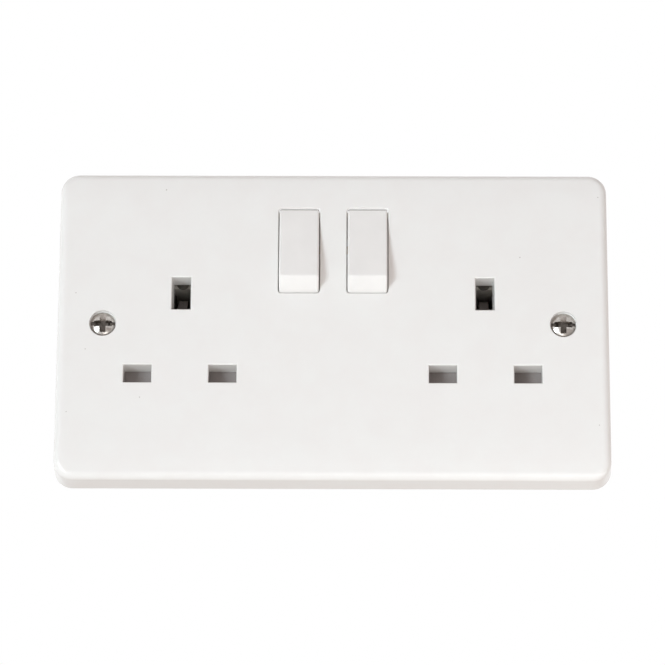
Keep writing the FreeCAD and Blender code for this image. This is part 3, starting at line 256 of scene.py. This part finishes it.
# Plungers. Round pins moulded in natural nylon, which slide in the rockers' tubes and press
# each rocking contact. The nylon is milky and slightly waxy.
natural_nylon, tree, shader, place = blank("natural_nylon")
milk = add(tree, "ShaderNodeTexNoise", {"Vector": place, "Scale": per_mm(2.5), "Detail": 2.0})
cream = add(tree, "ShaderNodeValToRGB", {"Fac": milk.outputs["Fac"]})
cream.color_ramp.elements[0].position = 0.3
cream.color_ramp.elements[0].color = linear("#DCD8CB")
cream.color_ramp.elements[1].position = 0.7
cream.color_ramp.elements[1].color = linear("#E4E1D6")
tree.links.new(cream.outputs[0], shader.inputs["Base Color"])
shader.inputs["Roughness"].default_value = 0.42
shader.inputs["IOR"].default_value = 1.53
dress(natural_nylon, "rocker_plunger_left", "rocker_plunger_right")


# Busbars, clips, earth strap and moving contacts. Stamped and folded from rolled brass and
# copper strip: a soft metallic shine with rolling lines along the strip and a light tarnish.
def rolled_strip(name, bright, tarnished, roughness):
    # Rolling lines are about 0.1 mm apart on the strip. They are drawn 0.35 mm apart, so that
    # they show. The tarnish lies in patches 5 mm across.
    material, tree, shader, place = blank(name)
    patch = add(tree, "ShaderNodeTexNoise", {
        "Vector": place, "Scale": per_mm(5), "Detail": 4.0, "Roughness": 0.6})
    tarnish = add(tree, "ShaderNodeValToRGB", {"Fac": patch.outputs["Fac"]})
    tarnish.color_ramp.elements[0].position = 0.35
    tarnish.color_ramp.elements[0].color = linear(bright)
    tarnish.color_ramp.elements[1].position = 0.72
    tarnish.color_ramp.elements[1].color = linear(tarnished)
    tree.links.new(tarnish.outputs[0], shader.inputs["Base Color"])
    drawn_out = add(tree, "ShaderNodeMapping", {"Vector": place, "Scale": (0.04, 1.0, 1.0)})
    lines = add(tree, "ShaderNodeTexNoise", {
        "Vector": drawn_out.outputs[0], "Scale": per_mm(0.35), "Detail": 2.0})
    shine = add(tree, "ShaderNodeMapRange", {
        "Value": lines.outputs["Fac"], "From Min": 0.3, "From Max": 0.7,
        "To Min": roughness - 0.06, "To Max": roughness + 0.08})
    tree.links.new(shine.outputs[0], shader.inputs["Roughness"])
    bump = add(tree, "ShaderNodeBump", {
        "Height": lines.outputs["Fac"], "Strength": 0.25, "Distance": 0.015 * MM})
    tree.links.new(bump.outputs[0], shader.inputs["Normal"])
    shader.inputs["Metallic"].default_value = 1
    return material


dress(rolled_strip("rolled_brass", "#D9B872", "#B8934F", 0.3),
      "live_busbar", "neutral_bar", "live_contact_left", "live_contact_right")
# the earth strap is tin-plated, so it is a dull grey
dress(rolled_strip("tinned_brass", "#A8A49E", "#847F79", 0.38), "earth_strap")
# the contacts that rock are copper, which is pinker than the brass
dress(rolled_strip("rolled_copper", "#D59A78", "#B0704E", 0.3),
      "moving_contact_left", "moving_contact_right")

# Contact tips. Silver alloy rivets headed over in the strips: pale satin metal with the fine
# pitting that the sparks leave.
contact_silver, tree, shader, place = blank("contact_silver")
pits = add(tree, "ShaderNodeTexVoronoi", {"Vector": place, "Scale": per_mm(0.3)})
bump = add(tree, "ShaderNodeBump", {
    "Height": pits.outputs["Distance"], "Strength": 0.2, "Distance": 0.01 * MM})
tree.links.new(bump.outputs[0], shader.inputs["Normal"])
grey = add(tree, "ShaderNodeValToRGB", {"Fac": pits.outputs["Distance"]})
grey.color_ramp.elements[0].color = linear("#C9C7C2")
grey.color_ramp.elements[1].color = linear("#DEDCD7")
tree.links.new(grey.outputs[0], shader.inputs["Base Color"])
shader.inputs["Metallic"].default_value = 1
shader.inputs["Roughness"].default_value = 0.36
dress(contact_silver,
      "moving_tip_left", "moving_tip_right", "fixed_tip_left", "fixed_tip_right")

# Rear moulding. Compression-moulded in off-white filler-rich urea: matt, with an eroded
# texture, faint flow marks and none of the plate's polish, because nobody sees it.
rear_urea, tree, shader, place = blank("rear_matt_urea")
flow = add(tree, "ShaderNodeTexNoise", {
    "Vector": place, "Scale": per_mm(18), "Detail": 5.0, "Distortion": 1.5})
warm = add(tree, "ShaderNodeValToRGB", {"Fac": flow.outputs["Fac"]})
warm.color_ramp.elements[0].position = 0.35
warm.color_ramp.elements[0].color = linear("#D9D5CC")
warm.color_ramp.elements[1].position = 0.7
warm.color_ramp.elements[1].color = linear("#E0DDD5")
tree.links.new(warm.outputs[0], shader.inputs["Base Color"])
erosion = add(tree, "ShaderNodeTexNoise", {"Vector": place, "Scale": per_mm(0.35), "Detail": 3.0})
bump = add(tree, "ShaderNodeBump", {
    "Height": erosion.outputs["Fac"], "Strength": 0.5, "Distance": 0.04 * MM})
tree.links.new(bump.outputs[0], shader.inputs["Normal"])
shader.inputs["Roughness"].default_value = 0.56
shader.inputs["IOR"].default_value = 1.55
dress(rear_urea, "rear_moulding")


# Fixing screws. M3.5 raised countersunk screws in nickel-plated steel, with a cross recess and
# a slot across it. They hang in the plate and thread into the wall box's lugs.
def bright_plating(name, pale, deep, roughness):
    # Bright plating: mirror-like, broken by hairline scuffs 0.2 mm apart from driving.
    material, tree, shader, place = blank(name)
    scuff = add(tree, "ShaderNodeTexNoise", {
        "Vector": place, "Scale": per_mm(0.8), "Detail": 5.0, "Roughness": 0.7})
    metal = add(tree, "ShaderNodeValToRGB", {"Fac": scuff.outputs["Fac"]})
    metal.color_ramp.elements[0].position = 0.3
    metal.color_ramp.elements[0].color = linear(deep)
    metal.color_ramp.elements[1].position = 0.7
    metal.color_ramp.elements[1].color = linear(pale)
    tree.links.new(metal.outputs[0], shader.inputs["Base Color"])
    polish = add(tree, "ShaderNodeMapRange", {
        "Value": scuff.outputs["Fac"], "From Min": 0.3, "From Max": 0.75,
        "To Min": roughness - 0.05, "To Max": roughness + 0.1})
    tree.links.new(polish.outputs[0], shader.inputs["Roughness"])
    hair = add(tree, "ShaderNodeTexNoise", {"Vector": place, "Scale": per_mm(0.2), "Detail": 2.0})
    bump = add(tree, "ShaderNodeBump", {
        "Height": hair.outputs["Fac"], "Strength": 0.1, "Distance": 0.01 * MM})
    tree.links.new(bump.outputs[0], shader.inputs["Normal"])
    shader.inputs["Metallic"].default_value = 1
    return material


def turned(profile, thread, place, forward=1):
    """Rings of points about a screw's axis, from head to point. Between the thread's ends
    the rings rise and fall with its pitch. Sizes are in millimetres. Forward is 1 for a screw
    that goes in from the front and -1 for one from behind, whose levels are counted with
    their sign turned."""
    start, end, pitch, depth, crest = thread
    around, per_pitch = 48, 8
    rings = [(y, r, 0) for y, r in profile if y <= start]
    count = int((end - start) / pitch * per_pitch)
    for i in range(1, count):
        y = start + (end - start) * i / count
        rings.append((y, crest, depth * min(1, (y - start) / pitch, (end - y) / pitch)))
    rings += [(y, r, 0) for y, r in profile if y >= end]
    points, faces = [], []
    for y, r, deep in rings:
        for k in range(around):
            angle = 2 * math.pi * k / around
            wave = abs(((y / pitch - forward * k / around) % 1) * 2 - 1)
            size = r - deep * wave
            out = Vector((math.cos(angle) * size, forward * y, math.sin(angle) * size))
            points.append(place + out * MM)
    for i in range(len(rings) - 1):
        for k in range(around):
            a, b = i * around + k, i * around + (k + 1) % around
            quad = (a, b, b + around, a + around)
            faces.append(quad if forward > 0 else tuple(reversed(quad)))
    last = (len(rings) - 1) * around
    ends = [tuple(reversed(range(around))), tuple(range(last, last + around))]
    faces += ends if forward > 0 else [tuple(reversed(e)) for e in ends]
    return points, faces


def tapered_bar(cutter, place, half_long, half_wide, top, bottom, taper, upright=False):
    """A punch's wing, narrower towards its end, that a recess is cut with. Its width
    tapers by two fifths as much as its length."""
    corners = []
    for y, shrink in ((top, 1), (bottom, taper)):
        for u, v in ((-1, -1), (1, -1), (1, 1), (-1, 1)):
            long, wide = u * half_long * shrink, v * half_wide * (0.6 + 0.4 * shrink)
            corners.append(place + Vector((wide, y, long) if upright else (long, y, wide)) * MM)
    at = [cutter.verts.new(c) for c in corners]
    for quad in ((0, 1, 2, 3), (7, 6, 5, 4),
                 (0, 4, 5, 1), (1, 5, 6, 2), (2, 6, 7, 3), (3, 7, 4, 0)):
        cutter.faces.new([at[i] for i in quad])
    bmesh.ops.recalc_face_normals(cutter, faces=cutter.faces[:])


def cut(name, blank_mesh, cutters, soft_from, soft_to):
    """Takes the cutters out of the blank and rounds the new edges between two levels along Y."""
    soft, crease = 0.06 * MM, 0.5
    body = bpy.data.objects.new(name + "_blank", blank_mesh)
    bpy.context.scene.collection.objects.link(body)
    tools = []
    for i, cutter in enumerate(cutters):
        tool_mesh = bpy.data.meshes.new("%s_tool_%d" % (name, i))
        cutter.to_mesh(tool_mesh)
        tool = bpy.data.objects.new(tool_mesh.name, tool_mesh)
        bpy.context.scene.collection.objects.link(tool)
        taking = body.modifiers.new("take_%d" % i, "BOOLEAN")
        taking.object = tool
        taking.solver = "EXACT"
        tools.append(tool)
    cut_mesh = bpy.data.meshes.new_from_object(
        body.evaluated_get(bpy.context.evaluated_depsgraph_get()))
    for tool in tools:
        bpy.data.objects.remove(tool)
    form = bmesh.new()
    form.from_mesh(cut_mesh)
    weight = form.edges.layers.float.new("bevel_weight_edge")
    for edge in form.edges:
        inside = all(soft_from * MM < v.co.y < soft_to * MM for v in edge.verts)
        edge[weight] = 1.0 if inside and edge.calc_face_angle(0) > crease else 0.0
    form.to_mesh(cut_mesh)
    form.free()
    body.modifiers.clear()
    body.data = cut_mesh
    rounding = body.modifiers.new("rounding", "BEVEL")
    rounding.limit_method = "WEIGHT"
    rounding.width = soft
    rounding.segments = 2
    done = bpy.data.meshes.new_from_object(
        body.evaluated_get(bpy.context.evaluated_depsgraph_get()))
    done.name = name
    done.polygons.foreach_set("use_smooth", [True] * len(done.polygons))
    bpy.data.objects.remove(body)
    return done


nickel = bright_plating("bright_nickel", "#D2CDC8", "#A39D98", 0.17)
# the plating is thinner and duller in the slot and on the recess's floor, and these are also
# painted dark there as painted shade
recess_shade_nickel = bright_plating("nickel_with_painted_recess_shade", "#67605B", "#433E3A", 0.36)
# sizes in millimetres; levels are along Y, and the plate's rim is at 0
fixing_centres = 60.3
head_radius, head_rim, head_rise, head_edge = 3.2, -8.1, 1.0, 0.25
dome_radius = (head_radius ** 2 + head_rise ** 2) / (2 * head_rise)
neck = 1.5
neck_from = head_rim + head_edge + head_radius - neck
# the M3.5 thread: where it starts and ends, its pitch, its depth and its crest's radius
fixing_thread = (0.5, 15.2, 0.6, 0.36, 1.75)
# the recess's wings and the slot: half their length and width, their top, bottom and taper
wing_sizes = (2.9, 0.8, -9.3, -7.0, 0.45)
slot_sizes = (3.6, 0.42, -9.6, -7.9, 0.98)
recess_front, recess_back = -9.4, -6.8
# the painted shade starts this deep below the dome, in the slot's band and elsewhere, and
# never in the head's outer skin
slot_band, shade_depth_in_slot, shade_depth_in_recess, outer_skin = 0.6, 0.12, 0.85, 0.25


def dome_level(r):
    """Level of the head's dome at that distance from its axis."""
    return head_rim + dome_radius - head_rise - math.sqrt(dome_radius ** 2 - r ** 2)


# levels and radii from the head to the point
fixing_profile = [(dome_level(head_radius * i / 16), head_radius * i / 16) for i in range(1, 17)]
fixing_profile += [
    (head_rim + 0.04, head_radius), (head_rim + head_edge, head_radius),
    (neck_from - 0.15, neck + 0.15), (neck_from + 0.1, neck), (0.3, neck), (0.5, 1.6),
    (15.2, 1.6), (15.6, 1.2), (16.0, 0.9)]
for side, sign in side_x.items():
    centre = Vector((sign * fixing_centres, 0, 0)) * MM
    points, faces = turned(fixing_profile, fixing_thread, centre)
    wings = bmesh.new()
    tapered_bar(wings, centre, *wing_sizes)
    wings_up = bmesh.new()
    tapered_bar(wings_up, centre, *wing_sizes, upright=True)
    slot = bmesh.new()
    tapered_bar(slot, centre, *slot_sizes)
    screw = cut("fixing_screw_detail_" + side, smooth_mesh("fixing_blank", points, faces),
                (wings, wings_up, slot), recess_front, recess_back)
    screw = finish_mesh("fixing_screw_detail_" + side, screw, nickel, "outlet", 40)
    screw.data.materials.append(recess_shade_nickel)
    # faces deep in the slot and the recess take the darker nickel, which is painted shade
    for face in screw.data.polygons:
        x, y, z = (face.center - centre) / MM
        r = math.hypot(x, z)
        cone = head_radius - max(0, y - head_rim - head_edge)
        shade_depth_here = shade_depth_in_slot if abs(z) < slot_band else shade_depth_in_recess
        if y < recess_back and r < cone - outer_skin and y > dome_level(r) + shade_depth_here:
            face.material_index = 1
    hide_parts("fixing_screw_" + side)

# Terminal screws. Slotted grub screws in zinc-plated steel, one in each brass pillar, which
# pinch the wires there. The zinc is paler and duller than the nickel.
zinc = bright_plating("zinc_plate", "#BFC0C0", "#A2A4A5", 0.3)
# profile and thread have their levels' sign turned, because the screws go in from behind
terminal_height = -28.2
terminal_profile = [
    (-17.2, 0.2), (-17.2, 1.9), (-17.0, 2.1), (-16.8, 2.15), (-12.2, 2.15), (-11.9, 2.0),
    (-11.6, 1.7)]
terminal_thread = (-16.8, -12.2, 0.7, 0.3, 2.2)
terminal_slot = (2.6, 0.4, 18.2, 16.1, 1)
terminal_slot_from, terminal_slot_to = 15.9, 17.4
terminal_x = {"live": 20, "neutral": -20, "earth_left": -7, "earth_right": 7}
for name, x in terminal_x.items():
    centre = Vector((x, 0, terminal_height)) * MM
    points, faces = turned(terminal_profile, terminal_thread, centre, -1)
    slot = bmesh.new()
    tapered_bar(slot, centre, *terminal_slot)
    screw = cut("pinching_screw_" + name, smooth_mesh("pinching_blank", points, faces),
                (slot,), terminal_slot_from, terminal_slot_to)
    screw = finish_mesh("pinching_screw_" + name, screw, zinc, "clamp_" + name, 40)
    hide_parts("terminal_screw_" + name)

# Assembly screws. Four cheese-headed screws in zinc-plated steel, which go in from behind
# and cut their thread in the plate's posts, so that they hold the rear moulding to the plate.
assembly_profile = [
    (-16.4, 0.2), (-16.4, 2.1), (-16.34, 2.45), (-16.1, 2.7), (-15.7, 2.8), (-14.5, 2.8),
    (-14.5, 1.35), (-14.0, 1.3), (2.0, 1.3), (2.8, 0.8), (3.5, 0.3)]
assembly_thread = (-14.0, 2.0, 1.0, 0.35, 1.35)
assembly_slot = (3.2, 0.4, 17.4, 15.5, 1)
assembly_slot_from, assembly_slot_to = 15.3, 16.5
assembly_x, assembly_z = (-50, 50), (26, -28.5)
everything = bmesh.new()
for x in assembly_x:
    for z in assembly_z:
        centre = Vector((x, 0, z)) * MM
        points, faces = turned(assembly_profile, assembly_thread, centre, -1)
        slot = bmesh.new()
        tapered_bar(slot, centre, *assembly_slot)
        one = cut("cheese_head_screw", smooth_mesh("cheese_head_blank", points, faces),
                  (slot,), assembly_slot_from, assembly_slot_to)
        everything.from_mesh(one)
four = bpy.data.meshes.new("cheese_head_screws")
everything.to_mesh(four)
screws = finish_mesh("cheese_head_screws", four, zinc, "outlet", 40)
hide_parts("assembly_screws")

# Dust. A few specks that settled on the glossy face: flat grey flakes a third of a millimetre
# across, each lying on the plate.
speck_grey, tree, shader, place = blank("grey_dust")
fleck = add(tree, "ShaderNodeTexNoise", {"Vector": place, "Scale": per_mm(0.15)})
soot = add(tree, "ShaderNodeValToRGB", {"Fac": fleck.outputs["Fac"]})
soot.color_ramp.elements[0].color = linear("#A8A29C")
soot.color_ramp.elements[1].color = linear("#C4BFB9")
tree.links.new(soot.outputs[0], shader.inputs["Base Color"])
shader.inputs["Roughness"].default_value = 0.9
# just ahead of the face, which rolls off by half a millimetre over its outer 9.5 mm
speck_level, roll_start, roll_length, roll_drop = -9.012, 33, 9.5, 0.5
picks = random.Random(7)
points, faces = [], []
# across, up and half their size
settled = ((-44.3, 37.5, 0.2), (-67.5, 8.4, 0.2), (-64.7, -7.2, 0.18), (-50.2, -20.4, 0.2),
           (-69.2, -24.4, 0.18), (49.1, 18.6, 0.2), (69.9, 35.6, 0.16), (69.2, -27.7, 0.16))
for x, z, size in settled:
    corners = picks.randint(6, 9)
    first = len(points)
    y = speck_level + max(0, abs(z) - roll_start) ** 2 * roll_drop / roll_length ** 2
    for k in range(corners):
        angle = 2 * math.pi * k / corners
        reach = size * picks.uniform(0.6, 1.2)
        points.append(Vector((x + math.cos(angle) * reach, y, z + math.sin(angle) * reach)) * MM)
    faces.append(tuple(range(first, first + corners)))
specks = finish_mesh("dust_specks", smooth_mesh("dust_specks", points, faces), speck_grey,
                     "outlet")

# Studio. A pale painted floor well below the outlet, a soft lamp low on the left that draws
# the shadows to the right, a narrow strip below, and a white sheet behind. The paint is matt,
# with the broad faint marks of a roller.
floor_level, floor_half = -1.1, 9
floor_corners = [Vector((x * floor_half, y * floor_half, floor_level))
                 for x, y in ((-1, -1), (1, -1), (1, 1), (-1, 1))]
floor = bpy.data.objects.new("floor", smooth_mesh("floor", floor_corners, [(0, 1, 2, 3)]))
bpy.context.scene.collection.objects.link(floor)
floor_paint, tree, shader, place = blank("pale_floor_paint")
roll_marks = add(tree, "ShaderNodeTexNoise", {"Vector": place, "Scale": per_mm(300), "Detail": 2.0})
pale = add(tree, "ShaderNodeValToRGB", {"Fac": roll_marks.outputs["Fac"]})
pale.color_ramp.elements[0].color = linear("#F0EFED")
pale.color_ramp.elements[1].color = linear("#F6F5F4")
tree.links.new(pale.outputs[0], shader.inputs["Base Color"])
shader.inputs["Roughness"].default_value = 0.8
floor.data.materials.append(floor_paint)

key = bpy.data.lights.new("key", "AREA")
key.shape = "SQUARE"
key.size = 1.1
key.energy = 72
key.color = (0.787, 0.908, 0.966)
key_lamp = bpy.data.objects.new("key", key)
key_way, key_distance = Vector((-0.60, -0.78, -0.20)), 3.4
key_lamp.location = key_way * key_distance
key_lamp.rotation_euler = (-key_lamp.location).to_track_quat("-Z", "Y").to_euler()
bpy.context.scene.collection.objects.link(key_lamp)

# a narrow strip close below the outlet, rather to the right, brightens its lower half and edge
fill = bpy.data.lights.new("fill", "AREA")
fill.shape = "RECTANGLE"
fill.size = 0.5
fill.size_y = 0.06
fill.energy = 0.2
fill_lamp = bpy.data.objects.new("fill", fill)
fill_lamp.location = Vector((0.12, -0.14, -0.17))
fill_lamp.rotation_euler = (-fill_lamp.location).to_track_quat("-Z", "Y").to_euler()
bpy.context.scene.collection.objects.link(fill_lamp)

world = bpy.data.worlds.new("white_surroundings")
bpy.context.scene.world = world
world.use_nodes = True
tree = world.node_tree
tree.nodes.clear()
path = add(tree, "ShaderNodeLightPath")
seen = add(tree, "ShaderNodeMath", {
    0: path.outputs["Is Camera Ray"], 1: path.outputs["Is Glossy Ray"]}, operation="MAXIMUM")
seen = add(tree, "ShaderNodeMath", {
    0: seen.outputs[0], 1: path.outputs["Is Transmission Ray"]}, operation="MAXIMUM")
# the white sheet behind the outlet gives its edges more light than the room gives its face
way = add(tree, "ShaderNodeSeparateXYZ", {
    "Vector": add(tree, "ShaderNodeTexCoord").outputs["Generated"]})
behind = add(tree, "ShaderNodeMapRange", {
    "Value": way.outputs["Y"], "From Min": -0.1, "From Max": 0.15})
room = add(tree, "ShaderNodeBackground", {"Color": (1.0, 0.857, 0.828, 1), "Strength": 0.41})
sheet = add(tree, "ShaderNodeBackground", {"Color": (1.0, 0.975, 0.96, 1), "Strength": 1.0})
soft = add(tree, "ShaderNodeMixShader", {
    0: behind.outputs[0], 1: room.outputs[0], 2: sheet.outputs[0]})
# the camera and the glossy surfaces see plain white
white = add(tree, "ShaderNodeBackground", {"Color": (1, 1, 1, 1), "Strength": 1.0})
either = add(tree, "ShaderNodeMixShader", {
    0: seen.outputs[0], 1: soft.outputs[0], 2: white.outputs[0]})
tree.links.new(either.outputs[0], tree.nodes.new("ShaderNodeOutputWorld").inputs[0])
bpy.context.scene.view_settings.view_transform = "Standard"
